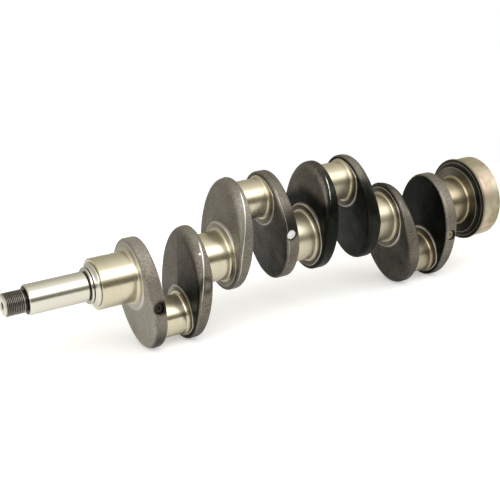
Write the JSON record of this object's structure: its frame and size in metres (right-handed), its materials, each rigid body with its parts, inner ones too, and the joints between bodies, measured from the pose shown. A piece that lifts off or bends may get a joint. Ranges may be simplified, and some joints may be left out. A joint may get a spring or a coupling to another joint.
{
  "type": "crankshaft",
  "caption": "Forged crankshaft without counterweights: ground journals and crankpins between oval webs, threaded nose at one end, bolted flange at the other.",
  "frame": {"origin": "on the crank axis, at the centre of the middle main journal", "axes": "+X along the crank axis from the threaded nose to the flange, +Z along the throw of the two middle crankpins, +Y to the far side"},
  "size_m": [0.6655, 0.108, 0.1818],
  "materials": {
    "ground_journal": "ground and polished",
    "forged_skin": "shot-blasted forging, lightly oiled",
    "turned_nose": "turned and ground",
    "oily_black": "oily dark steel",
    "flange": "satin ground",
    "plug": "bright turned"
  },
  "bodies": {
    "root": {"nose_thread": "turned_nose", "nose_seat": "turned_nose", "nose_shoulder": "turned_nose", "main_journal_1": "ground_journal", "main_journal_2": "ground_journal", "main_journal_3": "ground_journal", "main_journal_4": "ground_journal", "main_journal_5": "ground_journal", "crankpin_1": "ground_journal", "crankpin_2": "ground_journal", "crankpin_3": "ground_journal", "crankpin_4": "ground_journal", "web_1": "forged_skin", "web_2": "forged_skin", "web_3": "forged_skin", "web_4": "forged_skin", "web_5": "forged_skin", "web_6": "forged_skin", "web_7": "forged_skin", "web_8": "forged_skin", "rear_cheek": "ground_journal", "rear_oil_flinger": "oily_black", "rear_flange": "flange", "oil_plug_1": "plug", "oil_plug_2": "plug", "oil_plug_3": "plug", "oil_plug_4": "plug"}
  },
  "joints": []
}
